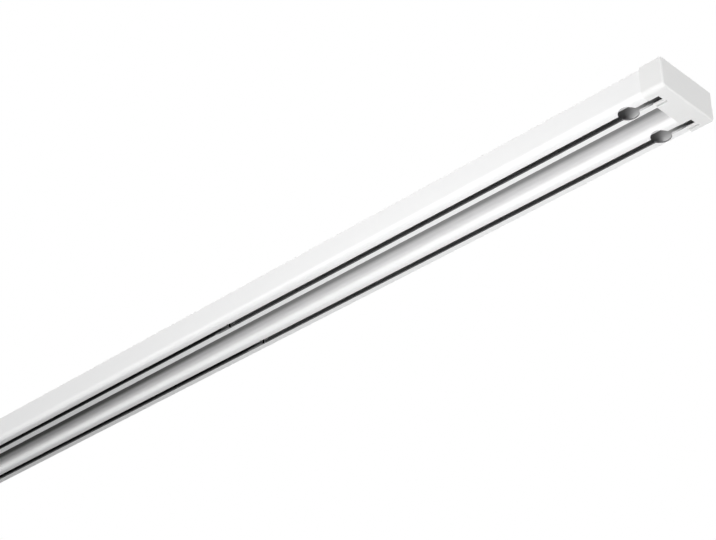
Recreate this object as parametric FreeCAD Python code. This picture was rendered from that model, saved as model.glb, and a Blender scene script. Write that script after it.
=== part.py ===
import FreeCAD, Part
import math
import os
from FreeCAD import Vector

# A two-channel ceiling curtain track, underside down, X along the track and Y from front to back.
# The origin is the middle of the track's top face, which lies against the ceiling.

# Track section
RAIL_COUNT = 3
RAIL_LENGTH = 400.0
TRACK_WIDTH = 50.0
TRACK_HEIGHT = 20.5
CHANNEL_WIDTH = 16.4
SIDE_WALL = 1.2
TOP_WALL = 1.6
LIP_THICKNESS = 1.0
FRONT_LIP = 6.9
SLOT_WIDTH = 3.8
FRONT_CORNER_R = 4.0
EDGE_R = 0.4
LEDGE_REACH = 1.0
LEDGE_THICKNESS = 1.0

# Ceiling screw holes in the web between the channels
HOLES_PER_RAIL = 2
HOLE_D = 4.4
COUNTERSINK_D = 7.4
COUNTERSINK_DEPTH = 1.5

# Keyholes where the gliders go in, and the eased slot corners at a joint
KEYHOLE_FROM_END = 32.3
KEYHOLE_CLEARANCE = 0.9
JOINT_EASE = 1.0

# Joint connectors and their grub screws
CONNECTOR_LENGTH = 60.0
CONNECTOR_THICKNESS = 3.1
CONNECTOR_TOP_GAP = 0.3
CONNECTOR_SIDE_FIT = 0.15
CONNECTOR_TAPER = 2.0
GRUB_D = 4.0
GRUB_LENGTH = 5.0
GRUB_FIT = 0.1
GRUB_FROM_JOINT = 20.0
HEX_ACROSS = 2.0
HEX_DEPTH = 2.0

# End caps
CAP_LENGTH = 17.0
CAP_END_WALL = 1.8
CAP_SIDE = 1.5
CAP_FLOOR = 1.3
CAP_FIT = 0.1
CAP_FRONT_R = 3.0
CAP_BACK_R = 2.0
CAP_END_R = 1.6
CAP_MOUTH_CHAMFER = 0.5
NOTCH_FROM_END = 9.0
NOTCH_FRONT_MARGIN = 1.3
NOTCH_BACK_MARGIN = 0.2
FINGER_WIDTH = 1.7
SLIT_WIDTH = 1.6
SLIT_FROM_END = 8.2
LUG_LENGTH = 6.2
LUG_WALL = 1.2
LUG_FIT = 0.15

# Gliders
GLIDERS_PER_CHANNEL = 8
GLIDER_GAP = 0.5
GLIDER_STOP_GAP = 1.0
GLIDER_LIFT = 0.3
HEAD_SIDE_GAP = 1.6
HEAD_LENGTH = 6.8
HEAD_HEIGHT = 3.6
HEAD_LEAD_IN = 1.4
HEAD_CHAMFER = 0.8
NECK_SLOT_GAP = 0.5
NECK_LENGTH = 4.0
EYE_OUTER_D = 10.0
EYE_HOLE_D = 6.4
EYE_THICKNESS = 2.4
EYE_BELOW_CAP = 0.5
EYE_SHOULDER = 1.5
EYE_FOOT = 2.8

TRACK_LENGTH = RAIL_COUNT * RAIL_LENGTH
TRACK_END = TRACK_LENGTH / 2
TRACK_BOTTOM = -TRACK_HEIGHT
LIP_TOP = TRACK_BOTTOM + LIP_THICKNESS
INNER_WIDTH = CHANNEL_WIDTH - 2 * SIDE_WALL
LEDGE_TOP = -TOP_WALL - CONNECTOR_TOP_GAP - CONNECTOR_THICKNESS
LEDGE_BOTTOM = LEDGE_TOP - LEDGE_THICKNESS
HEAD_WIDTH = INNER_WIDTH - 2 * HEAD_SIDE_GAP
KEYHOLE_D = math.hypot(HEAD_WIDTH, HEAD_LENGTH) + KEYHOLE_CLEARANCE
CHANNEL_FRONTS = {"front": -TRACK_WIDTH / 2, "back": TRACK_WIDTH / 2 - CHANNEL_WIDTH}
CAP_BOTTOM = TRACK_BOTTOM - CAP_FIT - CAP_FLOOR
CAP_OUTER_END = TRACK_END + CAP_END_WALL
CAP_MOUTH = CAP_OUTER_END - CAP_LENGTH
NOTCH_END = CAP_OUTER_END - NOTCH_FROM_END
SLIT_END = CAP_OUTER_END - SLIT_FROM_END
LUG_END = TRACK_END - LUG_LENGTH
PAST = 5.0


def slot_front(channel):
    return CHANNEL_FRONTS[channel] + FRONT_LIP


def slot_centre(channel):
    return slot_front(channel) + SLOT_WIDTH / 2


def section_face(x, y0, y1, z0, z1, radii):
    """An upright face at x, with one radius for each corner, from low front round to high front."""
    bends = []
    corners = [(y0, z0, 1, 1), (y1, z0, -1, 1), (y1, z1, -1, -1), (y0, z1, 1, -1)]
    for index, (y, z, dy, dz) in enumerate(corners):
        r = radii[index]
        lean = r * (1 - math.sqrt(0.5))
        on_level = Vector(x, y + dy * r, z)
        on_upright = Vector(x, y, z + dz * r)
        bend = [on_upright, Vector(x, y + dy * lean, z + dz * lean), on_level]
        bends.append(bend if index % 2 == 0 else bend[::-1])
    edges = []
    for index, bend in enumerate(bends):
        if radii[index] > 0:
            edges.append(Part.Arc(*bend).toShape())
        edges.append(Part.LineSegment(bend[-1], bends[(index + 1) % len(bends)][0]).toShape())
    return Part.Face(Part.Wire(edges))


def block(x0, x1, y0, y1, z0, z1):
    return Part.makeBox(x1 - x0, y1 - y0, z1 - z0, Vector(x0, y0, z0))


def prism(x0, x1, y0, y1, z0, z1, radii):
    return section_face(x0, y0, y1, z0, z1, radii).extrude(Vector(x1 - x0, 0, 0))


def channel_outline(x0, x1, channel):
    y0 = CHANNEL_FRONTS[channel]
    return prism(x0, x1, y0, y0 + CHANNEL_WIDTH, TRACK_BOTTOM, 0, (FRONT_CORNER_R, EDGE_R, 0, 0))


def channel_hollow(x0, x1, channel):
    """The runner space of one channel, less its two ledges, and the slot that opens it below."""
    y0 = CHANNEL_FRONTS[channel] + SIDE_WALL
    y1 = y0 + INNER_WIDTH
    inner_r = FRONT_CORNER_R - SIDE_WALL
    hollow = prism(x0, x1, y0, y1, LIP_TOP, -TOP_WALL, (inner_r, 0, 0, 0))
    near = block(x0, x1, y0, y0 + LEDGE_REACH, LEDGE_BOTTOM, LEDGE_TOP)
    far = block(x0, x1, y1 - LEDGE_REACH, y1, LEDGE_BOTTOM, LEDGE_TOP)
    front = slot_front(channel)
    slot = block(x0, x1, front, front + SLOT_WIDTH, TRACK_BOTTOM - PAST, LIP_TOP + EDGE_R)
    return hollow.cut([near, far]).fuse(slot)


def extrusion(x0, x1):
    """The two channels under one top wall, as one solid of constant section."""
    half = TRACK_WIDTH / 2
    top_radii = (0, 0, EDGE_R, EDGE_R)
    envelope = prism(x0, x1, -half, half, TRACK_BOTTOM, 0, top_radii)
    body = prism(x0, x1, -half, half, -TOP_WALL, 0, top_radii)
    for channel in CHANNEL_FRONTS:
        body = body.fuse(channel_outline(x0, x1, channel).common(envelope))
    for channel in CHANNEL_FRONTS:
        body = body.cut(channel_hollow(x0 - PAST, x1 + PAST, channel))
    return body.removeSplitter()


def screw_hole(x):
    shank = Part.makeCylinder(HOLE_D / 2, TOP_WALL + 2 * PAST, Vector(x, 0, -TOP_WALL - PAST))
    cone = Part.makeCone(COUNTERSINK_D / 2, HOLE_D / 2, COUNTERSINK_DEPTH, Vector(x, 0, -TOP_WALL))
    return shank.fuse(cone)


def keyhole(channel):
    centre = Vector(TRACK_END - KEYHOLE_FROM_END, slot_centre(channel), TRACK_BOTTOM - PAST)
    return Part.makeCylinder(KEYHOLE_D / 2, LIP_THICKNESS + PAST, centre)


def eased_corner(x, y, dx, dy):
    """A three-sided prism that takes the corner off a slot's side where two rails meet."""
    z = TRACK_BOTTOM - PAST
    points = [Vector(x, y, z), Vector(x + dx * JOINT_EASE, y, z), Vector(x, y + dy * JOINT_EASE, z)]
    face = Part.Face(Part.makePolygon(points + points[:1]))
    return face.extrude(Vector(0, 0, LIP_THICKNESS + PAST))


def joint_easing(x, dx):
    cuts = []
    for channel in CHANNEL_FRONTS:
        cuts.append(eased_corner(x, slot_front(channel), dx, -1))
        cuts.append(eased_corner(x, slot_front(channel) + SLOT_WIDTH, dx, 1))
    return cuts


def make_rail(index):
    x0 = index * RAIL_LENGTH - TRACK_END
    x1 = x0 + RAIL_LENGTH
    rail = extrusion(x0, x1)
    pitch = RAIL_LENGTH / HOLES_PER_RAIL
    cuts = [screw_hole(x0 + (hole + 0.5) * pitch) for hole in range(HOLES_PER_RAIL)]
    if index > 0:
        cuts += joint_easing(x0, 1)
    if index < RAIL_COUNT - 1:
        cuts += joint_easing(x1, -1)
    else:
        cuts += [keyhole(channel) for channel in CHANNEL_FRONTS]
    return rail.cut(cuts)


def grub_places(joint_x, channel):
    return [(joint_x + side * GRUB_FROM_JOINT, slot_centre(channel)) for side in (-1, 1)]


def corner_cut_plate(x0, x1, y0, y1, z, thickness, cut):
    """A flat plate with its four upright corners cut off."""
    plan = [(x0, y0 + cut), (x0 + cut, y0), (x1 - cut, y0), (x1, y0 + cut),
            (x1, y1 - cut), (x1 - cut, y1), (x0 + cut, y1), (x0, y1 - cut)]
    points = [Vector(x, y, z) for x, y in plan]
    return Part.Face(Part.makePolygon(points + points[:1])).extrude(Vector(0, 0, thickness))


def make_connector(joint_x, channel):
    """A flat bar that slides in above the ledges of one channel and bridges the joint."""
    y0 = CHANNEL_FRONTS[channel] + SIDE_WALL + CONNECTOR_SIDE_FIT
    y1 = y0 + INNER_WIDTH - 2 * CONNECTOR_SIDE_FIT
    x0 = joint_x - CONNECTOR_LENGTH / 2
    x1 = joint_x + CONNECTOR_LENGTH / 2
    bar = corner_cut_plate(x0, x1, y0, y1, LEDGE_TOP, CONNECTOR_THICKNESS, CONNECTOR_TAPER)
    for x, y in grub_places(joint_x, channel):
        base = Vector(x, y, LEDGE_TOP - PAST)
        bar = bar.cut(Part.makeCylinder(GRUB_D / 2 + GRUB_FIT, CONNECTOR_THICKNESS + 2 * PAST, base))
    return bar


def grub_screw(x, y):
    """A headless screw, driven up against the top wall so that it wedges the bar on its ledges."""
    low = -TOP_WALL - GRUB_LENGTH
    body = Part.makeCylinder(GRUB_D / 2, GRUB_LENGTH, Vector(x, y, low))
    reach = HEX_ACROSS / math.sqrt(3)
    turns = [math.radians(60 * step) for step in range(7)]
    ring = [Vector(x + reach * math.cos(a), y + reach * math.sin(a), low) for a in turns]
    return body.cut(Part.Face(Part.makePolygon(ring)).extrude(Vector(0, 0, HEX_DEPTH)))


def cap_shell():
    """The cap's outer form, a short box with a rounded end and a chamfered mouth."""
    half = TRACK_WIDTH / 2 + CAP_FIT + CAP_SIDE
    shell = prism(CAP_MOUTH, CAP_OUTER_END, -half, half, CAP_BOTTOM, 0, (CAP_FRONT_R, CAP_BACK_R, 0, 0))
    boxes = [(e, e.BoundBox) for e in shell.Edges]
    end_edges = [e for e, box in boxes if box.XMin > CAP_OUTER_END - CAP_FIT and box.ZMin < -CAP_FIT]
    shell = shell.makeFillet(CAP_END_R, end_edges)
    mouth_edges = [e for e in shell.Edges if e.BoundBox.XMax < CAP_MOUTH + CAP_FIT]
    return shell.makeChamfer(CAP_MOUTH_CHAMFER, mouth_edges)


def cap_hollow():
    """The space that the track's end fills. It is open above, so that the track lies on the ceiling."""
    half = TRACK_WIDTH / 2 + CAP_FIT
    low = TRACK_BOTTOM - CAP_FIT
    return prism(CAP_MOUTH - PAST, TRACK_END, -half, half, low, PAST, (FRONT_CORNER_R, EDGE_R, 0, 0))


def floor_cuts(channel):
    """The open notch under a slot, and the slit that frees the snap finger beside it."""
    notch_front = slot_front(channel) - NOTCH_FRONT_MARGIN
    finger_front = slot_front(channel) + SLOT_WIDTH + NOTCH_BACK_MARGIN
    slit_front = finger_front + FINGER_WIDTH
    low = CAP_BOTTOM - PAST
    high = TRACK_BOTTOM
    notch = block(CAP_MOUTH - PAST, NOTCH_END, notch_front, finger_front, low, high)
    slit = block(CAP_MOUTH - PAST, SLIT_END, slit_front, slit_front + SLIT_WIDTH, low, high)
    return [notch, slit]


def cap_lug(channel):
    """A hollow lug on the inside of the end wall that plugs the open end of a channel."""
    y0 = CHANNEL_FRONTS[channel] + SIDE_WALL + LUG_FIT
    y1 = y0 + INNER_WIDTH - 2 * LUG_FIT
    z0 = LIP_TOP + LUG_FIT
    z1 = LEDGE_BOTTOM - LUG_FIT
    r = FRONT_CORNER_R - SIDE_WALL
    outer = prism(LUG_END, TRACK_END, y0, y1, z0, z1, (r, 0, 0, 0))
    hollow = block(LUG_END - PAST, TRACK_END, y0 + LUG_WALL, y1 - LUG_WALL, z0 + LUG_WALL, z1 - LUG_WALL)
    return outer.cut(hollow)


def make_cap(side):
    cap = cap_shell().cut(cap_hollow())
    for channel in CHANNEL_FRONTS:
        cap = cap.cut(floor_cuts(channel)).fuse(cap_lug(channel))
    cap = cap.removeSplitter()
    if side == "left":
        cap = cap.mirror(Vector(0, 0, 0), Vector(1, 0, 0))
    return cap


def glider_x(place):
    first = -NOTCH_END + NECK_LENGTH / 2 + GLIDER_STOP_GAP
    return first + place * (EYE_OUTER_D + GLIDER_GAP)


def glider_head(x, y):
    """The head, with lead-in corners that let it cross a joint and a chamfered top."""
    low = LIP_TOP + GLIDER_LIFT
    half_x = HEAD_LENGTH / 2
    half_y = HEAD_WIDTH / 2
    head = corner_cut_plate(x - half_x, x + half_x, y - half_y, y + half_y, low, HEAD_HEIGHT, HEAD_LEAD_IN)
    top_edges = [e for e in head.Edges if e.BoundBox.ZMin > low + HEAD_HEIGHT / 2]
    return head.makeChamfer(HEAD_CHAMFER, top_edges)


def glider_neck(x, y, low):
    half_x = NECK_LENGTH / 2
    half_y = SLOT_WIDTH / 2 - NECK_SLOT_GAP
    return block(x - half_x, x + half_x, y - half_y, y + half_y, low, LIP_TOP + GLIDER_LIFT)


def glider_eye(x, y, z):
    """A flat eye with cut corners, which a curtain hook goes through from behind."""
    r = EYE_OUTER_D / 2
    front = y - EYE_THICKNESS / 2
    outline = [(-r, EYE_FOOT - r), (-r, r - EYE_SHOULDER), (EYE_SHOULDER - r, r), (r - EYE_SHOULDER, r),
               (r, r - EYE_SHOULDER), (r, EYE_FOOT - r), (r - EYE_FOOT, -r), (EYE_FOOT - r, -r)]
    points = [Vector(x + across, front, z + up) for across, up in outline]
    outer = Part.Face(Part.makePolygon(points + points[:1]))
    hole = Part.Wire(Part.makeCircle(EYE_HOLE_D / 2, Vector(x, front, z), Vector(0, 1, 0)))
    return outer.cut(Part.Face(hole)).extrude(Vector(0, EYE_THICKNESS, 0))


def make_glider(channel, place):
    """One moulded glider: a head that runs on the lips, a neck through the slot and an eye below."""
    x = glider_x(place)
    y = slot_centre(channel)
    eye_top = CAP_BOTTOM - EYE_BELOW_CAP
    eye = glider_eye(x, y, eye_top - EYE_OUTER_D / 2)
    neck = glider_neck(x, y, eye_top)
    return glider_head(x, y).fuse([neck, eye]).removeSplitter()


def make_parts():
    parts = {}
    for index, name in enumerate(("rail_left", "rail_middle", "rail_right")):
        parts[name] = make_rail(index)
    for joint, side in enumerate(("left", "right")):
        joint_x = (joint + 1) * RAIL_LENGTH - TRACK_END
        screws = []
        for channel in CHANNEL_FRONTS:
            parts["connector_" + channel + "_" + side] = make_connector(joint_x, channel)
            screws += [grub_screw(x, y) for x, y in grub_places(joint_x, channel)]
        parts["grub_screws_" + side] = Part.makeCompound(screws)
    for side in ("left", "right"):
        parts["end_cap_" + side] = make_cap(side)
    for channel in CHANNEL_FRONTS:
        for place in range(GLIDERS_PER_CHANNEL):
            parts["glider_" + channel + "_" + str(place + 1)] = make_glider(channel, place)
    return parts


os.makedirs("parts", exist_ok=True)
for node, shape in make_parts().items():
    shape.exportStep("parts/" + node + ".step")
    print(node, shape.isValid(), len(shape.Solids), round(shape.Volume, 1), len(shape.Faces))
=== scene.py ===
import math

import bpy
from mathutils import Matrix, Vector


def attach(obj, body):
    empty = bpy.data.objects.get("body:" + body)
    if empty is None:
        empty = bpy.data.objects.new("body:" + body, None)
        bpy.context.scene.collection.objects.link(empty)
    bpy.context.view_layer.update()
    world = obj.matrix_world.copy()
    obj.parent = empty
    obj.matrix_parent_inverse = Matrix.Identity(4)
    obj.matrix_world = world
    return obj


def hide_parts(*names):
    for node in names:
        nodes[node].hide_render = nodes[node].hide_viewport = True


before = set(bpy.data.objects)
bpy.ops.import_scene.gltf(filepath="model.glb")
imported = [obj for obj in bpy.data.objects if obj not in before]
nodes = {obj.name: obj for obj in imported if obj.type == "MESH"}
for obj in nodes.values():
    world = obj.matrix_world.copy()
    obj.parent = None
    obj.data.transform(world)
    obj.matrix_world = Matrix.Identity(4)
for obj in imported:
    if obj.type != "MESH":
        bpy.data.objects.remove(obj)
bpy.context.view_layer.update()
scene = bpy.context.scene
bpy.ops.object.select_all(action="DESELECT")

# The camera stands below and to the right of the track, at the end with the keyholes, and looks up
# along it, so that the near cap shows its end and the far end leaves the picture on the left.
CAMERA_PLACE = (1.08804, -0.79149, -0.71101)
CAMERA_TURN_DEG = (122.1470, 0.2366, 44.4019)
CAMERA_SEES = (0.01, 50.0)
SENSOR_MM = 36.0
LENS_MM = 92.849
camera_turn = [math.radians(angle) for angle in CAMERA_TURN_DEG]
bpy.ops.object.camera_add(location=CAMERA_PLACE, rotation=camera_turn)
camera = bpy.context.object
camera.data.sensor_width = SENSOR_MM
camera.data.lens = LENS_MM
camera.data.clip_start, camera.data.clip_end = CAMERA_SEES
scene.camera = camera
scene.view_settings.view_transform = "Standard"

# The studio is a pale floor a room's height below the track, and an even surround. Both show pale
# to the camera and in reflections, and light the object only at a gentle level.
FLOOR_DROP = 2.40
FLOOR_SIZE = 60.0
FLOOR_GREY = 0.80
FLOOR_ROUGHNESS = 0.9
FLOOR_GLOW = 0.70
SURROUND_LIGHT = 0.05


def new_finish(name):
    finish = bpy.data.materials.new(name)
    finish.use_nodes = True
    return finish, finish.node_tree, finish.node_tree.nodes["Principled BSDF"]


def feed(tree, socket, value):
    """Links a value to a socket, or sets it there where it is a plain number or colour."""
    if isinstance(value, bpy.types.NodeSocket):
        tree.links.new(value, socket)
    else:
        socket.default_value = value


def math_of(tree, operation, *values):
    node = tree.nodes.new("ShaderNodeMath")
    node.operation = operation
    for socket, value in zip(node.inputs, values):
        feed(tree, socket, value)
    return node.outputs["Value"]


def product(tree, first, *others):
    for other in others:
        first = math_of(tree, "MULTIPLY", first, other)
    return first


def highest(tree, first, *others):
    for other in others:
        first = math_of(tree, "MAXIMUM", first, other)
    return first


def is_ray(tree, *kinds):
    """1 where the ray is of one of these kinds, and 0 where it only carries light."""
    paths = tree.nodes.new("ShaderNodeLightPath")
    return highest(tree, *(paths.outputs["Is %s Ray" % kind] for kind in kinds))


bpy.ops.mesh.primitive_plane_add(size=FLOOR_SIZE, location=(0, 0, -FLOOR_DROP))
floor = bpy.context.object
floor.name = "studio_floor"
floor_paper, tree, shader = new_finish("floor_paper")
shader.inputs["Base Color"].default_value = (FLOOR_GREY, FLOOR_GREY, FLOOR_GREY, 1)
shader.inputs["Roughness"].default_value = FLOOR_ROUGHNESS
shader.inputs["Emission Color"].default_value = (1, 1, 1, 1)
glow = product(tree, is_ray(tree, "Camera", "Glossy"), FLOOR_GLOW)
tree.links.new(glow, shader.inputs["Emission Strength"])
floor.data.materials.append(floor_paper)

surround = bpy.data.worlds.new("surround")
surround.use_nodes = True
scene.world = surround
tree = surround.node_tree
background = tree.nodes["Background"]
background.inputs["Color"].default_value = (1, 1, 1, 1)
level = highest(tree, is_ray(tree, "Camera", "Glossy", "Transmission"), SURROUND_LIGHT)
tree.links.new(level, background.inputs["Strength"])

# Eight soft boxes light the track. A wide one stands in front, and one below it reaches into the
# gap between the channels. Two small ones under the near end leave the underside darker towards the
# far end, and gentle ones light both ends, the back and the top. None of them is in sight.

# For each: its name, its place, the point it faces, its width and height, and its watts.
SOFT_BOXES = (
    ("front_box", (-0.10, -1.68, -0.38), (0, 0, 0), (2.4, 0.8), 24.3),
    ("rise_box", (0.65, -1.25, -0.87), (0.45, 0, 0), (0.7, 0.5), 2.6),
    ("low_box", (0.39, -0.22, -0.38), (0.39, 0, 0), (0.30, 0.25), 0.98),
    ("near_box", (0.72, -0.16, -0.45), (0.60, 0, 0), (0.20, 0.20), 0.96),
    ("end_box", (1.30, 0.00, 0.06), (0.6, 0, 0), (0.35, 0.35), 3.3),
    ("back_box", (0.00, 1.00, 0.10), (0, 0, 0), (1.6, 0.4), 9.0),
    ("far_box", (-1.30, 0.00, 0.06), (-0.6, 0, 0), (0.35, 0.35), 3.0),
    ("top_box", (0.0, 0.1, 0.80), (0, 0, 0), (1.3, 0.4), 6.0),
)
for name, place, aim, size, watts in SOFT_BOXES:
    bpy.ops.object.light_add(type="AREA", location=place)
    box = bpy.context.object
    box.name = name
    box.data.shape = "RECTANGLE"
    box.data.size, box.data.size_y = size
    box.data.energy = watts
    box.visible_camera = False
    box.rotation_mode = "QUATERNION"
    box.rotation_quaternion = (Vector(aim) - Vector(place)).to_track_quat("-Z", "Y")

# The rails are three lengths of one extruded aluminium section in white powder coat, screwed to the
# ceiling through the web between the channels. Shade is painted into the coat's colour inside the
# channels, deep in the gap, on the slots' sides, the keyholes' rims and at the joints, and light is
# painted in by the keyholes, by the joints and half way up the gap.
COAT_COLOUR = (0.86, 0.86, 0.86, 1)
GAP_LIGHT_COLOUR = (0.97, 0.97, 0.97, 1)
GAP_SHADE_COLOUR = (0.41, 0.41, 0.415, 1)
FAR_GAP_SHADE_COLOUR = (0.20, 0.20, 0.202, 1)
COAT_ROUGHNESS = 0.40
COAT_SPECULAR = 0.25
COAT_TONE = (9.0, 0.02)
COAT_GLOSS = (60.0, 0.25)
COAT_GRAIN = (650.0, 0.012)
INSIDE_SHADE_COLOUR = (0.10, 0.10, 0.102, 1)
NEAR_INSIDE_SHADE_COLOUR = (0.34, 0.34, 0.345, 1)
METAL_ROUGHNESS = 0.42
METAL_SHARE = 0.85
NEAR_METAL_SHARE = 0.40
EDGE_SHADE_COLOUR = (0.055, 0.055, 0.057, 1)
JOINT_EDGE_SHADE_COLOUR = (0.16, 0.16, 0.162, 1)
RIM_SHADE_COLOUR = (0.24, 0.24, 0.242, 1)
SEAM_SHADOW_COLOUR = (0.008, 0.008, 0.008, 1)

# The section's sizes and places, in metres.
CHANNEL_WIDTH = 0.0164
SLOT_FROM_FRONT = 0.0069
SLOT_WIDTH = 0.0038
CORNER_RADIUS = 0.0040
HALF_SIDE_WALL = 0.0006
TRACK_BOTTOM = -0.0205
UNDERSIDE_BELOW = -0.0203
CUT_SIDE_ABOVE = -0.0204
NEAR_CUT_SIDE_ABOVE = -0.02046
LIP_INSIDE = -0.0196
LIP_TOP = -0.0194
MID_TOP_WALL = -0.0008
JOINT_PLACES = (-0.2, 0.2)
KEYHOLE_X = 0.5677
KEYHOLE_RADIUS = 0.00683
CAP_MOUTH_X = 0.5848

# For each channel: its front face, where the painted shade behind the slot fades out on the near
# and on the far stretch, where the joint's painted shadow lies on its far wall, and how much
# painted shade its bend gets.
CHANNELS = (
    (-0.0250, (0.0009, 0.0013), (0.0002, 0.0006), (0.1921, 0.1938), 0.19),
    (0.0086, (0.0008, 0.0011), (0.0008, 0.0011), (0.1929, 0.1946), 0.13),
)
BEND_PEAK = 0.385
RIM_REACH = (-0.00015, 0.00010)
SIDE_REACH = 0.0002
# Where the joint's painted shadow lies on the lip's cut side.
SEAM_SHADOW_ON_LIP = (0.1978, 0.1992)

# Places along the track: the near stretch starts just ahead of the right joint, and the painted
# shade grows darker towards the far end, where the painted light in the gap fades out.
NEAR_FROM_JOINT = (-0.018, -0.012)
FAR_SHADE_FROM_TO = (-0.05, 0.33)
GAP_LIGHT_FROM_TO = (-0.05, 0.14)

# The gap between the channels: its width, the heights between which painted light brightens its
# wall, and those where painted shade darkens it, which lie lower towards the far end.
GAP_FROM_TO = (-0.0095, 0.0135)
GAP_LIGHT_RISE = (-0.0170, -0.0150)
GAP_LIGHT_FALL = (-0.0112, -0.0102)
GAP_SHADE_FADES = (-0.0106, -0.0070)
FAR_GAP_SHIFT = 0.0008

# Painted light inside the channels, measured from the keyholes and from the joints, and painted
# light that takes some painted shade off the slots' sides between the keyholes and the near cap.
KEYHOLE_LIGHT_RISE = (-0.009, 0.002)
KEYHOLE_LIGHT_FALL = (0.008, 0.024)
KEYHOLE_LIGHT_MOST = 0.62
KEYHOLE_LIGHT_BACK_SHIFT = 0.0020
JOINT_LIGHT_RISE = (-0.014, -0.0011)
JOINT_LIGHT_END = -0.0010
JOINT_LIGHT_MOST = 0.5
CUT_LIGHT_RISE = (0.003, 0.005)
CUT_LIGHT_FALL = (0.008, 0.020)
CUT_LIGHT_MOST = 0.75

# How fine the noise in the finishes is, and the height that a pebble's depth is counted in.
WANDER_DETAIL = 3.0
PEBBLE_DETAIL = 2.0
PEBBLE_HEIGHT = 0.001


def opposite(tree, value):
    return math_of(tree, "SUBTRACT", 1.0, value)


def over(tree, value, limit):
    return math_of(tree, "GREATER_THAN", value, limit)


def under(tree, value, limit):
    return math_of(tree, "LESS_THAN", value, limit)


def within(tree, value, low, high):
    return product(tree, over(tree, value, low), under(tree, value, high))


def rise(tree, value, span, start=0.0):
    """Goes smoothly from 0 to 1 while a value passes a span, which is counted from the start."""
    node = tree.nodes.new("ShaderNodeMapRange")
    node.interpolation_type = "SMOOTHSTEP"
    feed(tree, node.inputs["Value"], value)
    node.inputs["From Min"].default_value = start + span[0]
    node.inputs["From Max"].default_value = start + span[1]
    return node.outputs["Result"]


def fall(tree, value, span, start=0.0):
    return opposite(tree, rise(tree, value, span, start))


def short_of(tree, value, limit):
    """How far a value is short of a limit, below zero, and zero beyond it."""
    return math_of(tree, "MINIMUM", math_of(tree, "SUBTRACT", value, limit), 0.0)


def squares(tree, first, second):
    return math_of(tree, "ADD", product(tree, first, first), product(tree, second, second))


def blend_colours(tree, factor, first, second):
    """Mixes two colours, whose sockets come after those for numbers and vectors."""
    node = tree.nodes.new("ShaderNodeMix")
    node.data_type = "RGBA"
    for index, value in ((0, factor), (6, first), (7, second)):
        feed(tree, node.inputs[index], value)
    return node.outputs[2]


def toned(tree, colour, tone):
    node = tree.nodes.new("ShaderNodeVectorMath")
    node.operation = "SCALE"
    feed(tree, node.inputs[0], colour)
    tree.links.new(tone, node.inputs["Scale"])
    return node.outputs["Vector"]


def new_group(name, amount_name, result_name, result_type, detail):
    """A group with noise at a place and scale: its amount, its result's socket and its noise."""
    group = bpy.data.node_groups.new(name, "ShaderNodeTree")
    face = group.interface
    face.new_socket("Place", in_out="INPUT", socket_type="NodeSocketVector")
    face.new_socket("Scale", in_out="INPUT", socket_type="NodeSocketFloat")
    face.new_socket(amount_name, in_out="INPUT", socket_type="NodeSocketFloat")
    face.new_socket(result_name, in_out="OUTPUT", socket_type=result_type)
    entry = group.nodes.new("NodeGroupInput")
    leave = group.nodes.new("NodeGroupOutput")
    noise = group.nodes.new("ShaderNodeTexNoise")
    noise.inputs["Detail"].default_value = detail
    group.links.new(entry.outputs["Place"], noise.inputs["Vector"])
    group.links.new(entry.outputs["Scale"], noise.inputs["Scale"])
    return group, entry.outputs[amount_name], leave.inputs[result_name], noise.outputs["Fac"]


def build_wander():
    """A slow uneven value round 1, for the small differences in tone and gloss of any finish."""
    group, amount, result, noise = new_group("finish_wander", "Amount", "Value",
                                             "NodeSocketFloat", WANDER_DETAIL)
    centred = math_of(group, "SUBTRACT", noise, 0.5)
    scaled = product(group, centred, amount)
    group.links.new(math_of(group, "ADD", scaled, 1.0), result)
    return group


def build_pebble():
    """A fine pebbled surface, as orange peel in a coat or the grain of a mould."""
    group, depth, result, noise = new_group("fine_pebble", "Depth", "Normal",
                                            "NodeSocketVector", PEBBLE_DETAIL)
    bump = group.nodes.new("ShaderNodeBump")
    bump.inputs["Distance"].default_value = PEBBLE_HEIGHT
    group.links.new(product(group, noise, depth), bump.inputs["Height"])
    group.links.new(bump.outputs["Normal"], result)
    return group


def place_group(tree, group, place, scale, amount):
    node = tree.nodes.new("ShaderNodeGroup")
    node.node_tree = group
    for socket, value in zip(node.inputs, (place, scale, amount)):
        feed(tree, socket, value)
    return node.outputs[0]


def object_place(tree):
    return tree.nodes.new("ShaderNodeTexCoord").outputs["Object"]


def object_axes(tree):
    axes = tree.nodes.new("ShaderNodeSeparateXYZ")
    tree.links.new(object_place(tree), axes.inputs[0])
    return axes.outputs


wander = build_wander()
pebble = build_pebble()


def dress(tree, shader, colour, roughness, tone, gloss, grain, rougher=None):
    """Gives a finish its colour, gloss and grain, each uneven by a noise scale and an amount."""
    place = object_place(tree)
    uneven_colour = toned(tree, colour, place_group(tree, wander, place, *tone))
    tree.links.new(uneven_colour, shader.inputs["Base Color"])
    uneven_gloss = product(tree, place_group(tree, wander, place, *gloss), roughness)
    if rougher is not None:
        uneven_gloss = math_of(tree, "ADD", uneven_gloss, rougher)
    tree.links.new(uneven_gloss, shader.inputs["Roughness"])
    tree.links.new(place_group(tree, pebble, place, *grain), shader.inputs["Normal"])


def put_on(finish, *names):
    """Gives a finish to pieces that keep the shape they have in the model."""
    for name in names:
        nodes[name].data.materials.clear()
        nodes[name].data.materials.append(finish)


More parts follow.
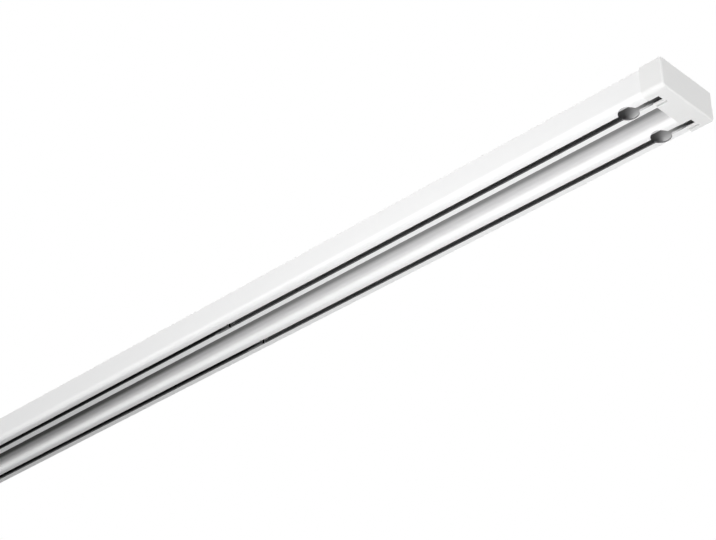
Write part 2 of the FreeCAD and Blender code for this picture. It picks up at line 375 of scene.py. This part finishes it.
powder_coat, tree, shader = new_finish("white_powder_coat")
along, across, up = object_axes(tree)
near_stretch = rise(tree, along, NEAR_FROM_JOINT, JOINT_PLACES[1])
far_stretch = opposite(tree, near_stretch)
hollows, bend_shades, rim_shades, edges, seam_shadows = [], [], [], [], []
for front, near_shade_span, far_shade_span, shadow_span, bend_shade in CHANNELS:
    back = front + CHANNEL_WIDTH
    slot_front = front + SLOT_FROM_FRONT
    slot_back = slot_front + SLOT_WIDTH

    # The hollow of the channel, with its rounded corner, and the joint's painted shadow inside it.
    from_centre = short_of(tree, across, front + CORNER_RADIUS)
    over_centre = short_of(tree, up, TRACK_BOTTOM + CORNER_RADIUS)
    inner_radius = CORNER_RADIUS - HALF_SIDE_WALL
    in_corner = under(tree, squares(tree, from_centre, over_centre), inner_radius ** 2)
    between_walls = within(tree, across, front + HALF_SIDE_WALL, back - HALF_SIDE_WALL)
    hollow = product(tree, between_walls, within(tree, up, LIP_INSIDE, MID_TOP_WALL), in_corner)
    hollows.append(hollow)
    seam_shadows.append(product(tree, hollow, within(tree, along, *shadow_span)))

    # Painted shade on the rounded lower corner, most where it is turned half down.
    to_peak = -bend_shade / BEND_PEAK / CORNER_RADIUS ** 3
    on_channel = over(tree, across, front - HALF_SIDE_WALL)
    bend_shades.append(product(tree, from_centre, over_centre, over_centre, to_peak, on_channel))

    # The keyhole's rim, as high as the lip is thick, painted in shade.
    off_x = math_of(tree, "SUBTRACT", along, KEYHOLE_X)
    off_y = math_of(tree, "SUBTRACT", across, (slot_front + slot_back) / 2)
    off_axis = math_of(tree, "SQRT", squares(tree, off_x, off_y))
    at_rim = within(tree, off_axis, KEYHOLE_RADIUS + RIM_REACH[0], KEYHOLE_RADIUS + RIM_REACH[1])
    rim_shades.append(product(tree, at_rim, within(tree, up, NEAR_CUT_SIDE_ABOVE, LIP_TOP)))

    # Painted shade on the slot's sides, and a painted shade line that fades out on the underside
    # behind it.
    side_faces = within(tree, across, slot_front - SIDE_REACH, slot_back + SIDE_REACH)
    near_side = within(tree, up, NEAR_CUT_SIDE_ABOVE, LIP_TOP)
    edges.append(product(tree, side_faces, near_side, near_stretch))
    edges.append(product(tree, side_faces, within(tree, up, CUT_SIDE_ABOVE, LIP_TOP)))
    near_fade = product(tree, fall(tree, across, near_shade_span, slot_back), near_stretch)
    far_fade = product(tree, fall(tree, across, far_shade_span, slot_back), far_stretch)
    fade = math_of(tree, "ADD", near_fade, far_fade)
    behind_slot = over(tree, across, slot_back - SIDE_REACH)
    edges.append(product(tree, fade, behind_slot, under(tree, up, LIP_INSIDE)))

# Painted light reaches a little way in at the keyholes and up to the joints.
is_back = over(tree, across, 0.0)
light_place = math_of(tree, "ADD", along, product(tree, is_back, KEYHOLE_LIGHT_BACK_SHIFT))
keyhole_rise = rise(tree, light_place, KEYHOLE_LIGHT_RISE, KEYHOLE_X)
keyhole_fall = fall(tree, light_place, KEYHOLE_LIGHT_FALL, KEYHOLE_X)
painted_light_inside = product(tree, keyhole_rise, keyhole_fall, KEYHOLE_LIGHT_MOST)
for joint in JOINT_PLACES:
    run_up = rise(tree, along, JOINT_LIGHT_RISE, joint)
    before_joint = under(tree, along, joint + JOINT_LIGHT_END)
    painted_light_inside = highest(tree, painted_light_inside, product(tree, run_up, before_joint, JOINT_LIGHT_MOST))
# Painted light takes some of the painted shade off the slots' sides between the keyholes and the
# near cap.
cut_light_rise = rise(tree, along, CUT_LIGHT_RISE, KEYHOLE_X)
cut_light_fall = fall(tree, along, CUT_LIGHT_FALL, KEYHOLE_X)
cut_painted_light = product(tree, cut_light_rise, cut_light_fall, CUT_LIGHT_MOST)
painted_edge_shade = product(tree, highest(tree, *edges), opposite(tree, cut_painted_light))
# Painted shade inside the channels, on bare metal, less of it on the near stretch.
bare_and_painted_shade = product(tree, highest(tree, *hollows), opposite(tree, painted_light_inside), opposite(tree, painted_edge_shade))

# Painted shade deep in the gap and where the caps cover the underside, painted light half way up
# the gap, and painted shade on the bends.
nearness = rise(tree, along, FAR_SHADE_FROM_TO)
past_mouth = over(tree, math_of(tree, "ABSOLUTE", along), CAP_MOUTH_X)
under_cap = product(tree, past_mouth, under(tree, up, UNDERSIDE_BELOW))
gap = product(tree, within(tree, across, *GAP_FROM_TO), under(tree, up, MID_TOP_WALL))
shift = product(tree, opposite(tree, nearness), FAR_GAP_SHIFT)
gap_depth = rise(tree, math_of(tree, "ADD", up, shift), GAP_SHADE_FADES)
gap_and_cap_shade = highest(tree, product(tree, gap, gap_depth), under_cap)
gap_light_height = product(tree, rise(tree, up, GAP_LIGHT_RISE), fall(tree, up, GAP_LIGHT_FALL))
gap_painted_light = product(tree, gap_light_height, gap, rise(tree, along, GAP_LIGHT_FROM_TO))
gap_shade_colour = blend_colours(tree, nearness, FAR_GAP_SHADE_COLOUR, GAP_SHADE_COLOUR)
coat_colour = blend_colours(tree, gap_painted_light, COAT_COLOUR, GAP_LIGHT_COLOUR)
coat_colour = blend_colours(tree, gap_and_cap_shade, coat_colour, gap_shade_colour)
painted_bend_shade = product(tree, highest(tree, *bend_shades), nearness)
coat_colour = toned(tree, coat_colour, opposite(tree, painted_bend_shade))

# Coat, painted shade inside the channels, painted shade on the slots' sides, painted shade on the
# rims and the joints' painted shadows lie over one another in that order.
inside_shade_colour = blend_colours(tree, near_stretch, INSIDE_SHADE_COLOUR, NEAR_INSIDE_SHADE_COLOUR)
by_joint = within(tree, along, JOINT_PLACES[1] + NEAR_FROM_JOINT[0], JOINT_PLACES[1])
edge_shade_colour = blend_colours(tree, by_joint, EDGE_SHADE_COLOUR, JOINT_EDGE_SHADE_COLOUR)
seam_shadow = highest(tree, product(tree, within(tree, along, *SEAM_SHADOW_ON_LIP), painted_edge_shade), *seam_shadows)
surface_colour = blend_colours(tree, bare_and_painted_shade, coat_colour, inside_shade_colour)
surface_colour = blend_colours(tree, painted_edge_shade, surface_colour, edge_shade_colour)
surface_colour = blend_colours(tree, highest(tree, *rim_shades), surface_colour, RIM_SHADE_COLOUR)
surface_colour = blend_colours(tree, seam_shadow, surface_colour, SEAM_SHADOW_COLOUR)
less_metal = product(tree, near_stretch, METAL_SHARE - NEAR_METAL_SHARE)
metal_share = math_of(tree, "SUBTRACT", METAL_SHARE, less_metal)
tree.links.new(product(tree, bare_and_painted_shade, metal_share), shader.inputs["Metallic"])
rougher = product(tree, bare_and_painted_shade, METAL_ROUGHNESS - COAT_ROUGHNESS)
dress(tree, shader, surface_colour, COAT_ROUGHNESS, COAT_TONE, COAT_GLOSS, COAT_GRAIN, rougher)
shader.inputs["Specular IOR Level"].default_value = COAT_SPECULAR
put_on(powder_coat, "rail_left", "rail_middle", "rail_right")

# The end caps are moulded in white plastic, each in one piece, and clip over the end of the track.
# A lug on the end wall plugs each channel, and a slit frees the finger beside each notch.
CAP_COLOUR = (0.80, 0.80, 0.795)
CAP_ROUGHNESS = 0.42
CAP_SPECULAR = 0.30
CAP_TONE = (40.0, 0.03)
CAP_GLOSS = (120.0, 0.3)
CAP_GRAIN = (900.0, 0.006)
CAP_BEND_CENTRE = (-0.0236, -0.0189)
CAP_BEND_RADIUS = 0.0030
CAP_BEND_SHADE = 0.16

cap_plastic, tree, shader = new_finish("white_cap_plastic")
along, across, up = object_axes(tree)
# Painted shade on the rounded lower front corner of the cap.
from_centre = short_of(tree, across, CAP_BEND_CENTRE[0])
over_centre = short_of(tree, up, CAP_BEND_CENTRE[1])
painted_bend_shade = product(tree, from_centre, over_centre, 2 * CAP_BEND_SHADE / CAP_BEND_RADIUS ** 2)
cap_colour = toned(tree, CAP_COLOUR, opposite(tree, painted_bend_shade))
dress(tree, shader, cap_colour, CAP_ROUGHNESS, CAP_TONE, CAP_GLOSS, CAP_GRAIN)
shader.inputs["Specular IOR Level"].default_value = CAP_SPECULAR
put_on(cap_plastic, "end_cap_left", "end_cap_right")

# A flat bar of zinc plated steel lies above the ledges of each channel across every joint, and
# keeps the two lengths in line. The plating is a little cloudy and shows the marks of its punch.
ZINC_COLOUR = (0.58, 0.59, 0.60)
ZINC_ROUGHNESS = 0.36
ZINC_TONE = (180.0, 0.22)
ZINC_GLOSS = (420.0, 0.5)
ZINC_GRAIN = (1400.0, 0.010)

zinc_plate, tree, shader = new_finish("zinc_plated_steel")
dress(tree, shader, ZINC_COLOUR, ZINC_ROUGHNESS, ZINC_TONE, ZINC_GLOSS, ZINC_GRAIN)
shader.inputs["Metallic"].default_value = 1.0
put_on(zinc_plate, *(name for name in nodes if name.startswith("connector")))

# Headless steel screws in the bars' tapped holes are driven up against the top wall with a hexagon
# key through the slot, which wedges the bar on its ledges. Each has a cut thread and turned ends.
SCREW_RADIUS = 0.0020
SCREW_LOW = -0.0066
SCREW_LENGTH = 0.0050
SCREW_SIDES = 40
SCREW_SMOOTH_DEG = 25
THREAD_PITCH = 0.0007
THREAD_DEPTH = 0.00036
THREAD_TURNS = 10
THREAD_STEPS = 28
THREAD_OVERSIZE = 1.015
THREAD_WELD = 0.000001
TRIM_PLACE = 0.55
END_BEVEL = 0.00035
FLAT_FACE = 0.9
KEY_RADIUS = 0.001155
KEY_DEPTH = 0.0020
SCREW_FROM_JOINT = 0.020
SLOT_LINES = (-0.0162, 0.0174)
SCREW_COLOUR = (0.33, 0.33, 0.34)
SCREW_ROUGHNESS = 0.34
SCREW_TONE = (300.0, 0.25)
SCREW_GLOSS = (700.0, 0.6)
SCREW_GRAIN = (2600.0, 0.006)


def choose(piece, kind, wanted):
    """Selects those edges or faces of a piece that pass a test, and no others."""
    bpy.ops.object.mode_set(mode="EDIT")
    bpy.ops.mesh.select_mode(type=kind)
    bpy.ops.mesh.select_all(action="DESELECT")
    bpy.ops.object.mode_set(mode="OBJECT")
    mesh = piece.data
    if kind == "FACE":
        for face in mesh.polygons:
            face.select = wanted(face.center, face.normal)
    else:
        for edge in mesh.edges:
            edge.select = wanted(*(mesh.vertices[k].co for k in edge.vertices))
    bpy.ops.object.mode_set(mode="EDIT")


def settle(piece):
    """Puts a piece's place and size into its mesh."""
    bpy.ops.object.select_all(action="DESELECT")
    piece.select_set(True)
    bpy.context.view_layer.objects.active = piece
    bpy.ops.object.transform_apply(location=True, rotation=True, scale=True)


def cut_with(piece, tool, operation="DIFFERENCE"):
    """Cuts a piece with a tool shape, which is then taken away."""
    bpy.context.view_layer.objects.active = piece
    cut = piece.modifiers.new("cut", "BOOLEAN")
    cut.operation = operation
    cut.solver = "EXACT"
    cut.object = tool
    bpy.ops.object.modifier_apply(modifier=cut.name)
    bpy.data.objects.remove(tool, do_unlink=True)


def copy_to(pattern, name, place):
    """A copy of a pattern piece with a mesh of its own, moved to its place."""
    bpy.ops.object.select_all(action="DESELECT")
    pattern.select_set(True)
    bpy.context.view_layer.objects.active = pattern
    bpy.ops.object.duplicate(linked=False)
    copy = bpy.context.object
    copy.name = name
    copy.location = place
    settle(copy)
    return copy


# One screw is cut at the origin: a V drawn point by point is wound into a thread, closed at both
# ends, turned down to a bevelled rod and bored for the key. Then it is copied to all eight places.
bpy.ops.object.select_all(action="DESELECT")
bpy.ops.mesh.primitive_plane_add(size=THREAD_PITCH, location=(0, 0, 0))
screw = bpy.context.object
bpy.ops.object.mode_set(mode="EDIT")
bpy.ops.mesh.merge(type="CENTER")
thread_start = -THREAD_PITCH * (THREAD_TURNS + 1) / 2
bpy.ops.transform.translate(value=(SCREW_RADIUS * THREAD_OVERSIZE, 0, thread_start))
for step in (-THREAD_DEPTH, THREAD_DEPTH):
    bpy.ops.mesh.extrude_region_move(TRANSFORM_OT_translate={"value": (step, 0, THREAD_PITCH / 2)})
bpy.ops.object.mode_set(mode="OBJECT")
wind = screw.modifiers.new("wind", "SCREW")
wind.screw_offset = THREAD_PITCH
wind.iterations = THREAD_TURNS
wind.steps = THREAD_STEPS
wind.render_steps = THREAD_STEPS
wind.use_merge_vertices = True
wind.merge_threshold = THREAD_WELD
bpy.ops.object.modifier_apply(modifier=wind.name)
bpy.ops.object.mode_set(mode="EDIT")
for side in (-1, 1):
    bpy.ops.mesh.select_all(action="SELECT")
    bpy.ops.mesh.bisect(plane_co=(0, 0, side * SCREW_LENGTH * TRIM_PLACE), plane_no=(0, 0, side),
                        use_fill=True, clear_outer=True)
bpy.ops.mesh.select_all(action="SELECT")
bpy.ops.mesh.normals_make_consistent(inside=False)
bpy.ops.object.mode_set(mode="OBJECT")
bpy.ops.mesh.primitive_cylinder_add(vertices=SCREW_SIDES, radius=SCREW_RADIUS, depth=SCREW_LENGTH)
rod = bpy.context.object
choose(rod, "FACE", lambda centre, normal: abs(normal.z) > FLAT_FACE)
bpy.ops.mesh.bevel(offset=END_BEVEL, segments=1)
bpy.ops.object.mode_set(mode="OBJECT")
cut_with(screw, rod, "INTERSECT")
bpy.ops.mesh.primitive_cylinder_add(vertices=6, radius=KEY_RADIUS, depth=2 * KEY_DEPTH,
                                    location=(0, 0, -SCREW_LENGTH / 2))
cut_with(screw, bpy.context.object)

thread_steel, tree, shader = new_finish("thread_steel")
dress(tree, shader, SCREW_COLOUR, SCREW_ROUGHNESS, SCREW_TONE, SCREW_GLOSS, SCREW_GRAIN)
shader.inputs["Metallic"].default_value = 1.0
for side, joint in zip(("left", "right"), JOINT_PLACES):
    name = "grub_screws_" + side
    group = []
    for x in (joint - SCREW_FROM_JOINT, joint + SCREW_FROM_JOINT):
        for y in SLOT_LINES:
            group.append(copy_to(screw, name + "_cut", (x, y, SCREW_LOW + SCREW_LENGTH / 2)))
    bpy.ops.object.select_all(action="DESELECT")
    for one in group:
        one.select_set(True)
    bpy.context.view_layer.objects.active = group[0]
    bpy.ops.object.join()
    screws = bpy.context.object
    screws.name = name + "_cut"
    bpy.ops.object.shade_smooth_by_angle(angle=math.radians(SCREW_SMOOTH_DEG))
    screws.data.materials.append(thread_steel)
    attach(screws, "track")
    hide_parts(name)
bpy.data.objects.remove(screw, do_unlink=True)

# The gliders are moulded in white nylon. Each has a flat head that slides on the lips of its
# channel, a neck through the slot and an eye for the curtain's hook. They are parked at the left.
GLIDER_COUNT = 8
FIRST_GLIDER_X = -0.5898
GLIDER_PITCH = 0.0105
HEAD_SIZE = (0.0068, 0.0108, 0.0036)
HEAD_LOW = -0.0192
HEAD_LEAD_IN = 0.0014
HEAD_CHAMFER = 0.0008
NECK_HALF = (0.0020, 0.0014)
NECK_LOW = -0.0224
EYE_HALF_WIDTH = 0.0050
EYE_HALF_THICKNESS = 0.0012
EYE_SHOULDER = 0.0015
EYE_FOOT = 0.0028
EYE_ROUND = 0.0011
EYE_ROUND_STEPS = 4
EYE_HOLE_RADIUS = 0.0032
EYE_HOLE_SIDES = 48
MOULD_EDGE = 0.00022
MOULD_EDGE_STEPS = 2
MOULD_EDGE_OVER_DEG = 24
GLIDER_SMOOTH_DEG = 35
NYLON_COLOUR = (0.80, 0.80, 0.775)
NYLON_ROUGHNESS = 0.44
NYLON_TONE = (120.0, 0.05)
NYLON_GLOSS = (500.0, 0.35)
NYLON_GRAIN = (1800.0, 0.010)
NYLON_SCATTER = 0.12
NYLON_SCATTER_COLOUR = (1.0, 0.95, 0.85)
NYLON_SCATTER_DEPTH = 0.0012

bpy.ops.object.select_all(action="DESELECT")
head_middle = HEAD_LOW + HEAD_SIZE[2] / 2
bpy.ops.mesh.primitive_cube_add(size=1, location=(0, 0, head_middle), scale=HEAD_SIZE)
glider = bpy.context.object
settle(glider)
choose(glider, "EDGE", lambda a, b: abs(a.z - b.z) > HEAD_SIZE[2] / 2)
bpy.ops.mesh.bevel(offset=HEAD_LEAD_IN, segments=1)
choose(glider, "FACE", lambda centre, normal: normal.z > FLAT_FACE)
bpy.ops.mesh.bevel(offset=HEAD_CHAMFER, segments=1)
for axis in (0, 1):
    for side in (-1, 1):
        spot = [0, 0, 0]
        spot[axis] = side * NECK_HALF[axis]
        bpy.ops.mesh.select_all(action="SELECT")
        bpy.ops.mesh.bisect(plane_co=spot, plane_no=[abs(v) > 0 for v in spot])


def under_neck(centre, normal):
    low = normal.z < -FLAT_FACE
    return low and abs(centre.x) < NECK_HALF[0] and abs(centre.y) < NECK_HALF[1]


def pull_down(depth, widen=(1, 1, 1)):
    bpy.ops.mesh.extrude_region_move(TRANSFORM_OT_translate={"value": (0, 0, -depth)})
    bpy.ops.transform.resize(value=widen)


# The neck and the eye are drawn down from under the head, step by step: neck, shoulders, sides and
# foot. Then the eye's corners are rounded, its hole is bored and every edge is softened.
choose(glider, "FACE", under_neck)
pull_down(HEAD_LOW - NECK_LOW)
shoulder_half = EYE_HALF_WIDTH - EYE_SHOULDER
pull_down(0, (shoulder_half / NECK_HALF[0], EYE_HALF_THICKNESS / NECK_HALF[1], 1))
pull_down(EYE_SHOULDER, (EYE_HALF_WIDTH / shoulder_half, 1, 1))
pull_down(2 * EYE_HALF_WIDTH - EYE_SHOULDER - EYE_FOOT)
pull_down(EYE_FOOT, ((EYE_HALF_WIDTH - EYE_FOOT) / EYE_HALF_WIDTH, 1, 1))


def eye_corner(a, b):
    below = max(a.z, b.z) < NECK_LOW - EYE_SHOULDER / 2
    return below and abs(a.y - b.y) > EYE_HALF_THICKNESS


choose(glider, "EDGE", eye_corner)
bpy.ops.mesh.bevel(offset=EYE_ROUND, segments=EYE_ROUND_STEPS)
bpy.ops.object.mode_set(mode="OBJECT")
eye_middle = NECK_LOW - EYE_HALF_WIDTH
bpy.ops.mesh.primitive_cylinder_add(vertices=EYE_HOLE_SIDES, radius=EYE_HOLE_RADIUS,
                                    depth=4 * EYE_HALF_THICKNESS, location=(0, 0, eye_middle),
                                    rotation=(math.pi / 2, 0, 0))
cut_with(glider, bpy.context.object)
soften = glider.modifiers.new("soften", "BEVEL")
soften.width = MOULD_EDGE
soften.segments = MOULD_EDGE_STEPS
soften.limit_method = "ANGLE"
soften.angle_limit = math.radians(MOULD_EDGE_OVER_DEG)
bpy.ops.object.modifier_apply(modifier=soften.name)
bpy.ops.object.shade_smooth_by_angle(angle=math.radians(GLIDER_SMOOTH_DEG))

nylon, tree, shader = new_finish("moulded_nylon")
dress(tree, shader, NYLON_COLOUR, NYLON_ROUGHNESS, NYLON_TONE, NYLON_GLOSS, NYLON_GRAIN)
shader.inputs["Subsurface Weight"].default_value = NYLON_SCATTER
shader.inputs["Subsurface Radius"].default_value = NYLON_SCATTER_COLOUR
shader.inputs["Subsurface Scale"].default_value = NYLON_SCATTER_DEPTH
glider.data.materials.append(nylon)
for row, line in zip(("front", "back"), SLOT_LINES):
    for number in range(1, GLIDER_COUNT + 1):
        name = "glider_%s_%d" % (row, number)
        x = FIRST_GLIDER_X + (number - 1) * GLIDER_PITCH
        one = copy_to(glider, name + "_moulded", (x, line, 0))
        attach(one, name)
        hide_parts(name)
bpy.data.objects.remove(glider, do_unlink=True)
